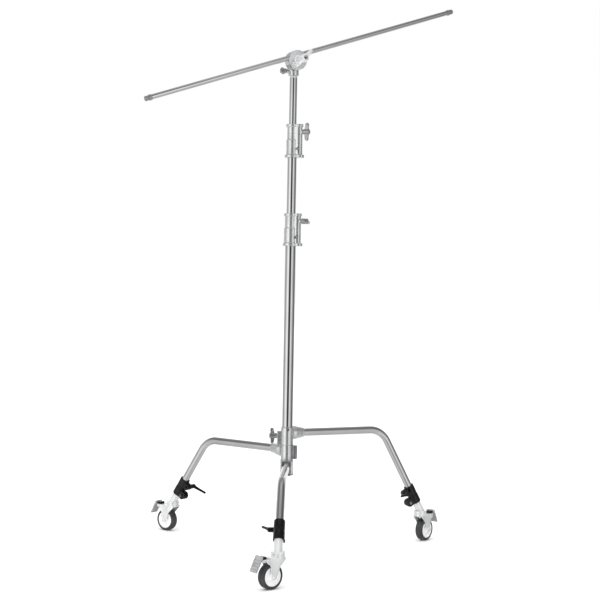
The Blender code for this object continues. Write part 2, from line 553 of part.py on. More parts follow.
def build_head():
    frame = head_frame()
    forward = Matrix.Rotation(math.radians(90), 4, "X")  # local +Z becomes local -Y
    low = 1.5406 - HEAD_Z
    lock = about_z(STUD_LOCK_AZ - HEAD_YAW)
    lock_z = STUD_LOCK_Z - HEAD_Z
    body = place("grip_body", disc(BODY_A, DISC_R), frame, "cast")
    neck = [(0.0, low), (0.0158, low), (0.0170, low + 0.0012), (0.0170, low + 0.0270), (0.0135, low + 0.0370),
            (0.0125, 0.0060), (0.0, 0.0060)]
    shape(
        body, frame,
        ("UNION", lathe(neck, STEPS)),
        ("UNION", rod(0.0082, 0.0, 0.0235, FEW, lock @ at(0, 0, lock_z) @ ALONG_X)),
        ("DIFFERENCE", block(-0.05, 0.05, -0.05, -BODY_A[1], -0.0315, 0.05)),
        ("DIFFERENCE", bore(STUD_R, low - 0.01, STUD_TOP + GAP - HEAD_Z, STEPS)),
        ("DIFFERENCE", bore(0.0036, 0.0, 0.05, FEW, lock @ at(0, 0, lock_z) @ ALONG_X)),
    )
    slope = Matrix.Rotation(math.radians(-ARM_SLOPE), 4, "Y")
    rod_line = at(0, -ARM_A, 0) @ slope @ at(0, 0, ARM_OFF) @ ALONG_X
    small = at(0, -ARM_A, 0) @ slope @ at(0, 0, -0.0150) @ ALONG_X
    for name, span in (("rear_jaw", REAR_JAW_A), ("front_jaw", FRONT_JAW_A)):
        shape(
            place(f"grip_{name}", disc(span, DISC_R), frame, "cast"), frame,
            ("DIFFERENCE", bore(ARM_R, -0.05, 0.05, STEPS, rod_line)),
            ("DIFFERENCE", rod(0.0048, -0.05, 0.05, FEW, small)),
            ("DIFFERENCE", bore(GRIP_BOLT_R, -0.05, 0.05, FEW, forward)),
        )
    start = FRONT_JAW_A[1] + GAP
    end = start + 0.0560
    hub = [
        (0.0, start), (0.0150, start), (0.0150, start + 0.003), (0.0128, start + 0.006), (0.0125, end - 0.002),
        (0.0110, end), (0.0, end),
    ]
    turned = frame @ Matrix.Rotation(math.radians(-GRIP_TURN), 4, "Y")
    handle = place("grip_handle", lathe(hub, STEPS, forward), turned, "cast")
    near, far = end - 0.0240, end - 0.0030
    wing = [(0.0, near), (0.030, near + 0.003)] + arc(0.0330, (near + far) / 2, 0.0070, -70, 70, 5)
    wing += [(0.030, far - 0.001), (0.0, far)]
    wing += [(-x, y) for x, y in reversed(wing[1:-1])]
    span = Matrix(((1, 0, 0, 0), (0, -1, 0, 0), (0, 0, 1, 0), (0, 0, 0, 1)))
    shape(
        handle, turned,
        ("UNION", slab(wing, -0.0045, 0.0045, span)),
        ("DIFFERENCE", bore(GRIP_BOLT_R, 0.0, 0.15, FEW, forward)),
        ("DIFFERENCE", rod(0.0078, end - 0.0120, end + 0.01, FEW, forward)),
    )
    place("grip_bolt", rod(GRIP_BOLT_R, REAR_JAW_A[0] + 0.0005, end - 0.0130, FEW, forward), frame, "steel")
    spot = about_z(STUD_LOCK_AZ) @ at(0, 0, STUD_LOCK_Z)
    t_handle("stud_lock_handle", spot, STUD_R + 2 * GAP, 0.0235, 0.0440, 0.0240, 62.0, 0.9)

    line = frame @ rod_line
    near, far = ARM_LEFT + CAP_LENGTH, ARM_RIGHT - CAP_LENGTH
    tube = [(ARM_BORE, near), (ARM_R, near), (ARM_R, far), (ARM_BORE, far)]
    place("arm_tube", lathe(tube, STEPS, None, True), line, "chrome")
    for name, end, way in (("left", ARM_LEFT, 1), ("right", ARM_RIGHT, -1)):
        cap = [
            (0.0, 0.0), (0.0068, 0.0), (ARM_R, 0.0012), (ARM_R, 0.0090), (0.0062, 0.0098), (0.0062, 0.0128),
            (0.0094, 0.0134), (0.0094, CAP_LENGTH - 2 * GAP), (ARM_BORE - GAP, CAP_LENGTH - 2 * GAP),
            (ARM_BORE - GAP, CAP_LENGTH + 0.018), (0.0, CAP_LENGTH + 0.018),
        ]
        place(f"arm_end_{name}", lathe([(r, end + way * z) for r, z in cap], STEPS), line, "zinc")


def main():
    for leftover in list(bpy.data.objects):
        bpy.data.objects.remove(leftover, do_unlink=True)
    build_hub()
    for which in LEG_AZIMUTH:
        leg_tube(which)
        build_leg_end(which)
        build_caster(which)
    build_column()
    build_head()


main()
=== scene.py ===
"""Wheeled C stand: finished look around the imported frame. Metres, +Z up."""

import json
import math

import bmesh
import bpy
from mathutils import Matrix, Vector


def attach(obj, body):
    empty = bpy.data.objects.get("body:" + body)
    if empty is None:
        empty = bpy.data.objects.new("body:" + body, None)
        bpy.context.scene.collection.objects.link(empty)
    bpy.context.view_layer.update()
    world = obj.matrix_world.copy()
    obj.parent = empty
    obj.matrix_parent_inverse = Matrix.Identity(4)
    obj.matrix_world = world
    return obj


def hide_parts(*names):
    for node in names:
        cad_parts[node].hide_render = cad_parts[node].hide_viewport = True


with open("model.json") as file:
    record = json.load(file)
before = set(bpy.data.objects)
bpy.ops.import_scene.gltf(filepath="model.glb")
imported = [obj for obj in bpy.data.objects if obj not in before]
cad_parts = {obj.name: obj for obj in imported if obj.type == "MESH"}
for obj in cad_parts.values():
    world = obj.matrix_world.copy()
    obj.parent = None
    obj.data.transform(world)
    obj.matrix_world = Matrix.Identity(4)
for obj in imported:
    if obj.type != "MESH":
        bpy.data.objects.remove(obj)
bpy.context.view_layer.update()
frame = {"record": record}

BODY_OF = {node: body for body, nodes in frame["record"]["behaviour"]["bodies"].items() for node in nodes}

GAP = 0.0003  # clearance between touching pieces
ROOT = Matrix.Translation((-0.027, 0.097, 0.0))  # the column's axis in the row frame
STEPS = 64  # sides of a large round piece
FEW = 32  # sides of a small round piece
WHEEL_STEPS = 96
SHARP_DEGREES = 34

LEG_AZIMUTH = {"right": 23.8, "left": 141.8, "front": -92.3}  # degrees, seen from above
LEG_HEIGHT = {"right": 0.386, "left": 0.332, "front": 0.281}  # centreline at the hub
TRAIL_AZIMUTH = {"right": 51.9, "left": 144.0, "front": 218.7}
LEVER_DROOP = {"right": 0.0, "left": 34.0, "front": 0.0}
LEG_R = 0.0125
LEG_WALL = 0.0016
LEG_START = 0.0245
CORNER_X = 0.345
BEND_R = 0.075
BEND_STEPS = 24
SWIVEL_X = 0.500
MITRE_Z = 0.1050
CLAMP_S = 0.067  # clamp centre, measured up the slanted axis from the swivel point
CLAMP_HALF = 0.032
STEM_R, STEM_BORE = 0.0135, 0.0114
BOLT_OFF = 0.0245  # clamp bolt axes, off the tube axis
LUG_HALF = 0.0110
LEVER_Z = 0.0170
BOLT_Z = -0.0195

POST_R = 0.0147
POST_BORE = 0.0115
SLEEVE_R = 0.0205
SOCKET_TOP = 0.4060
SOCKET_FLOOR = 0.3550
SPLIT_1 = 0.3470
SPLIT_2 = 0.2990
HUB_BOTTOM = 0.2555
NUT_BOTTOM = 0.2475
COLUMN_LOCK_Z = 0.3770
COLUMN_LOCK_AZ = 188.0
SOCKET_SCREW_AZ = -84.0
LOCK_AZ = -18.0
LUG_REACH = 0.0500  # the front leg lies between two lugs, out to here
LUGS_HALF = 0.0185

BASE_R, BASE_BORE = 0.0175, 0.0155
MID_R, MID_BORE = 0.0150, 0.0131
TOP_R, TOP_BORE = 0.0125, 0.0109
BASE_TOP = 1.0640
MID_BOTTOM, MID_TOP = 0.5600, 1.3500
TOP_BOTTOM, TOP_TOP = 0.7000, 1.5350
COLLARS = {
    "lower": dict(z0=0.992, z1=1.097, step=1.050, upper=0.0200, lower=0.0225, flange=0.0260,
                  top_flange=0.0235, bore_low=BASE_R, bore_high=MID_R, lip=BASE_TOP, handle=1.072, turn=82.0),
    "upper": dict(z0=1.277, z1=1.385, step=1.335, upper=0.0175, lower=0.0198, flange=0.0248,
                  top_flange=0.0215, bore_low=MID_R, bore_high=TOP_R, lip=MID_TOP, handle=1.360, turn=-4.0),
}
COLLAR_AZ = -22.0
EAR_X = 0.0290
EAR_HALF = 0.0115

STUD_R = 0.00795
STUD_TOP = 1.5790
HEAD_Z = 1.5890
HEAD_YAW = 26.0  # degrees, the arm's heading seen from above
DISC_R = 0.0315
BODY_A = (-0.0040, 0.0090)  # extents along the clamp axis, from the stud axis
REAR_JAW_A = (0.0093, 0.0205)
FRONT_JAW_A = (0.0235, 0.0325)
ARM_A = 0.0220
ARM_OFF = 0.0138  # arm centreline, off the clamp axis
ARM_SLOPE = 19.2
ARM_R, ARM_BORE = 0.0080, 0.0062
ARM_LEFT, ARM_RIGHT = -0.538, 0.6255
CAP_LENGTH = 0.022
GRIP_BOLT_R = 0.0048
GRIP_TURN = 46.0
STUD_LOCK_Z = 1.5570
STUD_LOCK_AZ = 186.0

TYRE_R = 0.0375
RIM_R = 0.0285
TYRE_HALF = 0.0140
TRAIL = 0.0270
AXLE_R = 0.0040
FORK_IN, FORK_OUT = 0.0165, 0.0190
PIVOT = (0.0460, 0.0840)


# Materials

FLECKS_PER_GRAIN = 2.4


def ramp(nodes, links, source, stops):
    made = nodes.new("ShaderNodeValToRGB")
    ends = made.color_ramp.elements
    for number, (place_at, value) in enumerate(stops):
        entry = ends[number] if number < 2 else ends.new(place_at)
        entry.position = place_at
        entry.color = (*value, 1.0) if isinstance(value, tuple) else (value, value, value, 1.0)
    links.new(source, made.inputs["Fac"])
    return made.outputs["Color"]


def noise(nodes, links, spot, scale, detail):
    """Noise over the object's own coordinates, a given number of cells to the metre."""
    made = nodes.new("ShaderNodeTexNoise")
    made.inputs["Scale"].default_value = scale
    made.inputs["Detail"].default_value = detail
    links.new(spot, made.inputs["Vector"])
    return made.outputs["Fac"]


def times(nodes, links, one, two):
    made = nodes.new("ShaderNodeMix")
    made.data_type = "RGBA"
    made.blend_type = "MULTIPLY"
    made.inputs["Factor"].default_value = 1.0
    links.new(one, made.inputs["A"])
    links.new(two, made.inputs["B"])
    return made.outputs["Result"]


def finish_of(name, metallic, colours, roughness, grain, fine, depth, wear, patches=14.0):
    """A surface with broad tone patches, worn or dusty spots, uneven gloss and a fine relief.

    colours: the darker and lighter tone. roughness: its lowest and highest value.
    grain, fine, patches: cells to the metre of the uneven gloss, of the relief and of the tone.
    depth: the relief in metres. wear: how dark a fleck is, and how low the noise falls where one starts.
    """
    made = bpy.data.materials.new(name)
    made.use_nodes = True
    nodes, links = made.node_tree.nodes, made.node_tree.links
    shader = nodes["Principled BSDF"]
    spot = nodes.new("ShaderNodeTexCoord").outputs["Object"]
    blotches = noise(nodes, links, spot, patches, 6.0)
    tone = ramp(nodes, links, blotches, [(0.32, colours[0]), (0.68, colours[1])])
    low, share = wear
    specks = noise(nodes, links, spot, grain * FLECKS_PER_GRAIN, 8.0)
    flecks = ramp(nodes, links, specks, [(share, low), (share + 0.08, 1.0)])
    links.new(times(nodes, links, tone, flecks), shader.inputs["Base Color"])
    smears = noise(nodes, links, spot, grain, 7.0)
    gloss = ramp(nodes, links, smears, [(0.30, roughness[0]), (0.72, roughness[1])])
    links.new(gloss, shader.inputs["Roughness"])
    shader.inputs["Metallic"].default_value = metallic
    bump = nodes.new("ShaderNodeBump")
    bump.inputs["Strength"].default_value = 1.0
    bump.inputs["Distance"].default_value = depth
    links.new(noise(nodes, links, spot, fine, 5.0), bump.inputs["Height"])
    links.new(bump.outputs["Normal"], shader.inputs["Normal"])
    return made


FINISHES = {
    "chrome": finish_of("chrome", 1.0, ((0.76, 0.765, 0.78), (0.84, 0.84, 0.845)), (0.05, 0.12), 160.0, 900.0,
                        0.000003, (0.90, 0.30)),
    "cast": finish_of("cast", 0.85, ((0.74, 0.75, 0.76), (0.86, 0.86, 0.86)), (0.16, 0.26), 180.0, 620.0,
                      0.000012, (0.88, 0.30), patches=40.0),
    "satin": finish_of("satin", 0.9, ((0.42, 0.42, 0.43), (0.56, 0.56, 0.57)), (0.20, 0.32), 220.0, 700.0,
                       0.000008, (0.80, 0.30), patches=60.0),
    "zinc": finish_of("zinc", 0.50, ((0.86, 0.87, 0.88), (0.95, 0.95, 0.95)), (0.12, 0.22), 200.0, 700.0,
                      0.000008, (0.92, 0.28), patches=50.0),
    "steel": finish_of("steel", 1.0, ((0.30, 0.30, 0.32), (0.46, 0.46, 0.47)), (0.24, 0.40), 500.0, 1500.0,
                       0.00002, (0.70, 0.34), patches=90.0),
    "black": finish_of("black", 0.0, ((0.0020, 0.0020, 0.0024), (0.0050, 0.0050, 0.0055)), (0.05, 0.12),
                       350.0, 1400.0, 0.000006, (0.70, 0.30), patches=50.0),
    "rubber": finish_of("rubber", 0.0, ((0.030, 0.030, 0.032), (0.056, 0.056, 0.060)), (0.50, 0.70), 260.0,
                        900.0, 0.00006, (0.75, 0.34), patches=45.0),
    "white": finish_of("white", 0.0, ((0.86, 0.86, 0.855), (0.92, 0.92, 0.915)), (0.30, 0.46), 220.0, 800.0,
                       0.00002, (0.95, 0.30), patches=50.0),
    "grey": finish_of("grey", 0.35, ((0.38, 0.385, 0.39), (0.52, 0.525, 0.53)), (0.34, 0.50), 300.0, 900.0,
                      0.00004, (0.80, 0.32), patches=60.0),
}


# Mesh tools


def about_z(degrees):
    return Matrix.Rotation(math.radians(degrees), 4, "Z")


def at(x=0.0, y=0.0, z=0.0):
    return Matrix.Translation((x, y, z))


ALONG_X = Matrix.Rotation(math.radians(90), 4, "Y")  # turns local +Z into +X
ALONG_Y = Matrix.Rotation(math.radians(-90), 4, "X")  # turns local +Z into +Y
UPRIGHT = Matrix.Rotation(math.radians(90), 4, "X")  # turns local +Y into +Z, and +Z into -Y


def rounded(points, radius, closed, count=3):
    """The same outline with each corner that isn't on the axis turned into a short arc."""
    made = []
    last = len(points) - 1
    for k, here in enumerate(points):
        if not closed and k in (0, last):
            made.append(here)
            continue
        here = Vector(here)
        before, after = Vector(points[k - 1]) - here, Vector(points[(k + 1) % (last + 1)]) - here
        if before.length < 1e-7 or after.length < 1e-7 or here.x < 1e-7 and not closed:
            made.append(tuple(here))
            continue
        bend = before.angle(after)
        if bend > math.radians(165):
            made.append(tuple(here))
            continue
        run = min(radius / math.tan(bend / 2), before.length * 0.42, after.length * 0.42)
        one, two = here + before.normalized() * run, here + after.normalized() * run
        for j in range(count + 1):
            t = j / count
            made.append(tuple(one * (1 - t) ** 2 + here * 2 * t * (1 - t) + two * t ** 2))
    return made


def lathe(profile, steps, turn=None, hollow=False, soft=0.0):
    """A solid turned about local Z from (radius, height) points. A hollow profile closes on itself."""
    if soft:
        profile = rounded(profile, soft, hollow)
    bm = bmesh.new()
    rings = []
    for radius, height in profile:
        if radius < 1e-7:
            rings.append([bm.verts.new((0.0, 0.0, height))])
            continue
        angles = [2 * math.pi * k / steps for k in range(steps)]
        rings.append([bm.verts.new((radius * math.cos(a), radius * math.sin(a), height)) for a in angles])
    pairs = list(zip(rings, rings[1:]))
    if hollow:
        pairs.append((rings[-1], rings[0]))
    for one, two in pairs:
        for k in range(steps):
            n = (k + 1) % steps
            corners = [one[k % len(one)], one[n % len(one)], two[n % len(two)], two[k % len(two)]]
            unique = list(dict.fromkeys(corners))
            if len(unique) > 2:
                bm.faces.new(unique)
    if turn:
        bmesh.ops.transform(bm, matrix=turn, verts=bm.verts)
    return bm


def rod(radius, low, high, steps=FEW, turn=None, soft=0.0):
    return lathe([(0.0, low), (radius, low), (radius, high), (0.0, high)], steps, turn, soft=soft)


def bore(radius, low, high, steps=FEW, turn=None):
    return rod((radius + GAP) / math.cos(math.pi / steps), low, high, steps, (turn or at()) @ about_z(1.7))


def slab(outline, low, high, turn=None, soft=0.0, corners=0.0):
    """A prism from an outline in local XY, between two heights, with its rims rounded."""
    if corners:
        outline = rounded(outline, corners, True, 4)
    bm = bmesh.new()
    below = [bm.verts.new((x, y, low)) for x, y in outline]
    above = [bm.verts.new((x, y, high)) for x, y in outline]
    bm.faces.new(below)
    bm.faces.new(above)
    for k in range(len(outline)):
        n = (k + 1) % len(outline)
        bm.faces.new((below[k], below[n], above[n], above[k]))
    if soft:
        rims = [e for e in bm.edges if abs(e.verts[0].co.z - e.verts[1].co.z) < 1e-9]
        bmesh.ops.bevel(
            bm, geom=rims, offset=soft, segments=3, profile=0.5, affect="EDGES", clamp_overlap=True)
    if turn:
        bmesh.ops.transform(bm, matrix=turn, verts=bm.verts)
    return bm


def block(x0, x1, y0, y1, z0, z1, turn=None, soft=0.0):
    return slab([(x0, y0), (x1, y0), (x1, y1), (x0, y1)], z0, z1, turn, soft, soft)


def arc(cx, cy, radius, start, stop, count):
    angles = [math.radians(start + (stop - start) * k / (count - 1)) for k in range(count)]
    return [(cx + radius * math.cos(a), cy + radius * math.sin(a)) for a in angles]


def swept_tube(points, outer, inner, steps):
    """A tube along a path in the local XZ plane, square ended."""
    bm = bmesh.new()
    side = Vector((0.0, 1.0, 0.0))
    skins = [[], []]
    for k, point in enumerate(points):
        before = (point - points[k - 1]).normalized() if k else None
        after = (points[k + 1] - point).normalized() if k + 1 < len(points) else None
        tangent = ((before or after) + (after or before)).normalized()
        up = tangent.cross(side).normalized()
        for radius, skin in zip((outer, inner), skins):
            ring = []
            for j in range(steps):
                a = 2 * math.pi * j / steps
                ring.append(bm.verts.new(point + side * (radius * math.cos(a)) + up * (radius * math.sin(a))))
            skin.append(ring)
    for skin in skins:
        for one, two in zip(skin, skin[1:]):
            for j in range(steps):
                n = (j + 1) % steps
                bm.faces.new((one[j], one[n], two[n], two[j]))
    outside, inside = skins
    for end in (0, -1):
        for j in range(steps):
            n = (j + 1) % steps
            bm.faces.new((outside[end][j], outside[end][n], inside[end][n], inside[end][j]))
    return bm


def in_scene(name, bm, where):
    bmesh.ops.recalc_face_normals(bm, faces=bm.faces)
    mesh = bpy.data.meshes.new(name)
    bmesh.ops.transform(bm, matrix=where, verts=bm.verts)
    bm.to_mesh(mesh)
    bm.free()
    made = bpy.data.objects.new(name, mesh)
    bpy.context.scene.collection.objects.link(made)
    return made


def dress(made, node, key, stands_in):
    """Smooth shading, the finish, the tie to the node's CAD body, and the hiding of the CAD node it stands in
    for.
    """
    mesh = made.data
    mesh.materials.clear()
    mesh.materials.append(FINISHES[key])
    mesh.shade_smooth()
    mesh.set_sharp_from_angle(angle=math.radians(SHARP_DEGREES))
    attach(made, BODY_OF[node])
    if stands_in:
        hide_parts(node)
    return made


def carved(name, bm, where, steps):
    """An object from a first mesh and ("UNION" or "DIFFERENCE", mesh) steps in the same local frame."""
    made = in_scene(name, bm, where)
    tools = []
    for operation, other in steps:
        tools.append(in_scene("tool", other, where))
        modifier = made.modifiers.new("step", "BOOLEAN")
        modifier.operation = operation
        modifier.solver = "EXACT"
        modifier.object = tools[-1]
    if steps:
        evaluated = made.evaluated_get(bpy.context.evaluated_depsgraph_get())
        mesh = bpy.data.meshes.new_from_object(evaluated)
        made.modifiers.clear()
        made.data = mesh
        for tool in tools:
            bpy.data.objects.remove(tool)
    return made


def build(node, key, bm, where, *steps, extra=None):
    """One dressed piece. An extra is a second piece of its node, under its own name."""
    made = carved(extra or f"{node}.look", bm, ROOT @ where, steps)
    return dress(made, node, key, extra is None)


# Pieces


def hexagon(across, turn=30.0):
    return [(x, y) for x, y in arc(0.0, 0.0, across / math.sqrt(3), turn, turn + 300, 6)]


def t_handle(node, where, tip, face, hub_end, bar, turn, size=1.0):
    """A die-cast T-handle on local +X: shank from tip to face, hub to hub_end, wings along local Z."""
    where = where @ Matrix.Rotation(math.radians(turn), 4, "X")
    hub_r = 0.0088 * size
    start = face + 2 * GAP
    profile = [
        (0.0, tip), (0.0036, tip), (0.0036, start), (hub_r * 0.85, start), (hub_r, start + 0.003),
        (hub_r, hub_end - 0.002), (hub_r - 0.002, hub_end), (0.0, hub_end),
    ]
    mid = hub_end - 0.0095 * size
    half = 0.0070 * size
    wing = [(mid - half, 0.0), (mid - half * 0.95, bar * 0.45), (mid - half * 0.75, bar - 0.005)]
    wing += arc(mid + half * 0.1, bar - half * 0.8, half * 0.8, 160, 20, 9)
    wing += [(mid + half * 0.8, bar * 0.45), (mid + half, 0.0)]
    wing += [(x, -y) for x, y in reversed(wing[1:-1])]
    recess = rod(hub_r * 0.42, hub_end - 0.0022, hub_end + 0.002, FEW, ALONG_X)
    return build(node, "satin", lathe(profile, FEW, ALONG_X, soft=0.0012), where,
                 ("UNION", slab(wing, -0.0042 * size, 0.0042 * size, UPRIGHT, 0.0018 * size)),
                 ("DIFFERENCE", recess))


def leg_frame(which):
    return about_z(LEG_AZIMUTH[which])


def slant(which):
    """The tilt of the leg's lower run from vertical, in radians."""
    return math.atan2(SWIVEL_X - CORNER_X, LEG_HEIGHT[which] - MITRE_Z)


def leg_up(which):
    return Vector((-math.sin(slant(which)), 0.0, math.cos(slant(which))))


def clamp_frame(which):
    """Origin at the clamp's centre, +Z up the tube, +X off its inner side."""
    up = leg_up(which)
    inward = Vector((-up.z, 0.0, up.x))
    origin = Vector((SWIVEL_X, 0.0, MITRE_Z)) + up * CLAMP_S
    basis = Matrix((inward, up.cross(inward), up)).transposed().to_4x4()
    return leg_frame(which) @ Matrix.Translation(origin) @ basis


def make_leg(which):
    height = LEG_HEIGHT[which]
    turn = math.pi / 2 - slant(which)
    run = BEND_R * math.tan(turn / 2)
    points = [Vector((LEG_START, 0.0, height))]
    for k in range(BEND_STEPS + 1):
        a = turn * k / BEND_STEPS
        along, drop = BEND_R * math.sin(a), BEND_R * (1 - math.cos(a))
        points.append(Vector((CORNER_X - run + along, 0.0, height - drop)))
    points.append(Vector((SWIVEL_X, 0.0, MITRE_Z)) + leg_up(which) * (CLAMP_S + 0.0015))
    tube = swept_tube(points, LEG_R, LEG_R - LEG_WALL, STEPS)
    build(f"leg_{which}", "chrome", tube, leg_frame(which))


def leg_bell(height, root, length):
    """The flared socket that a leg is pushed into, along local X."""
    profile = [(0.0, 0.0135), (root, 0.0135), (root, 0.0265), (root * 0.93, 0.0320), (0.0180, length * 0.80),
               (0.0162, length - 0.006), (0.0162, length - 0.0015), (0.0150, length), (0.0, length)]
    return lathe(profile, STEPS, at(0, 0, height) @ ALONG_X, soft=0.0025)


def leg_bore(height):
    return bore(LEG_R, LEG_START - GAP, 0.08, STEPS, at(0, 0, height) @ ALONG_X)


def make_hub():
    right = leg_frame("right")
    top = SOCKET_TOP
    low = SPLIT_1 + GAP
    profile = [(0.0, low), (SLEEVE_R, low), (SLEEVE_R, top - 0.003), (SLEEVE_R - 0.0010, top), (0.0, top)]
    lock = about_z(COLUMN_LOCK_AZ - LEG_AZIMUTH["right"])
    screw = about_z(SOCKET_SCREW_AZ - LEG_AZIMUTH["right"])
    build(
        "base_socket", "cast", lathe(profile, STEPS, soft=0.0010), right,
        ("UNION", leg_bell(LEG_HEIGHT["right"], 0.0218, 0.056)),
        ("UNION", block(0.0, 0.0335, -0.0085, 0.0085, low + 0.001, 0.3925, lock, 0.0022)),
        ("DIFFERENCE", bore(BASE_R, SOCKET_FLOOR, top + 0.01, STEPS)),
        ("DIFFERENCE", bore(POST_R, low - 0.01, SOCKET_FLOOR + 0.01, STEPS)),
        ("DIFFERENCE", leg_bore(LEG_HEIGHT["right"])),
        ("DIFFERENCE", bore(0.0036, 0.010, 0.05, FEW, lock @ at(0, 0, COLUMN_LOCK_Z) @ ALONG_X)),
        ("DIFFERENCE", bore(0.0025, 0.010, 0.05, FEW, screw @ at(0, 0, 0.3985) @ ALONG_X)),
    )
    profile = [(0.0, BASE_R + 2 * GAP), (0.0025, BASE_R + 2 * GAP), (0.0025, SLEEVE_R + GAP),
               (0.0045, SLEEVE_R + GAP), (0.0045, 0.0240), (0.0, 0.0246)]
    build("socket_screw", "steel", lathe(profile, FEW, ALONG_X, soft=0.0005),
          about_z(SOCKET_SCREW_AZ) @ at(0, 0, 0.3985),
          ("DIFFERENCE", slab(hexagon(0.0040), 0.0228, 0.03, ALONG_X)))
    t_handle("column_lock_handle", about_z(COLUMN_LOCK_AZ) @ at(0, 0, COLUMN_LOCK_Z), BASE_R + 2 * GAP,
             0.0335, 0.0585, 0.0255, 14.0)
    post = [(POST_BORE, NUT_BOTTOM), (POST_R, NUT_BOTTOM), (POST_R, SOCKET_FLOOR - GAP),
            (POST_BORE, SOCKET_FLOOR - GAP)]
    build("hub_post", "steel", lathe(post, STEPS, None, True, 0.0006), at())
    nut = slab(hexagon(0.0363, 0.0), NUT_BOTTOM + 0.0010, HUB_BOTTOM - GAP, None, 0.0008)
    build("hub_nut", "steel", nut, at(), ("DIFFERENCE", bore(POST_R, 0.2, 0.3, STEPS)))

    middle = [(0.0, SPLIT_2 + GAP), (SLEEVE_R, SPLIT_2 + GAP), (SLEEVE_R, SPLIT_1), (0.0, SPLIT_1)]
    gusset = [(0.016, SPLIT_2 + 0.004), (0.024, SPLIT_2 + 0.003), (0.050, LEG_HEIGHT["left"] - 0.0120),
              (0.050, LEG_HEIGHT["left"]), (0.016, LEG_HEIGHT["left"])]
    build(
        "middle_sleeve", "cast", lathe(middle, STEPS, soft=0.0010), leg_frame("left"),
        ("UNION", leg_bell(LEG_HEIGHT["left"], 0.0240, 0.060)),
        ("UNION", slab(gusset, -0.0045, 0.0045, UPRIGHT, 0.0015)),
        ("DIFFERENCE", bore(POST_R, 0.25, 0.42, STEPS)),
        ("DIFFERENCE", leg_bore(LEG_HEIGHT["left"])),
        ("DIFFERENCE", block(-0.1, 0.1, -0.1, 0.1, SPLIT_1, 0.42)),
    )
    spot = about_z(LOCK_AZ) @ at(0.0250, 0, 0)
    profile = [(0.0, 0.3030), (0.0078, 0.3030), (0.0090, 0.3042), (0.0090, 0.3395), (0.0082, 0.3400),
               (0.0082, 0.3412), (0.0090, 0.3417), (0.0090, 0.3452), (0.0078, 0.3464), (0.0, 0.3464)]
    build("fold_lock_housing", "steel", lathe(profile, FEW, soft=0.0005), spot,
          ("DIFFERENCE", bore(SLEEVE_R, 0.25, 0.42, STEPS, at(-0.0250, 0, 0))))

    outer = SLEEVE_R + 0.001
    bottom = [(0.0, HUB_BOTTOM), (outer - 0.001, HUB_BOTTOM), (outer, HUB_BOTTOM + 0.001), (outer, SPLIT_2),
              (0.0, SPLIT_2)]
    build(
        "bottom_sleeve", "cast", lathe(bottom, STEPS, soft=0.0012), leg_frame("front"),
        ("UNION", block(0.0, LUG_REACH, -LUGS_HALF, LUGS_HALF, HUB_BOTTOM + 0.0020, SPLIT_2 - 0.0020,
                        None, 0.0030)),
        ("DIFFERENCE", block(LEG_START + 0.0010, 0.1, -LEG_R - 0.0006, LEG_R + 0.0006, 0.2, 0.4)),
        ("DIFFERENCE", bore(POST_R, 0.20, 0.42, STEPS)),
        ("DIFFERENCE", leg_bore(LEG_HEIGHT["front"])),
        ("DIFFERENCE", block(-0.1, 0.1, -0.1, 0.1, SPLIT_2, 0.42)),
    )


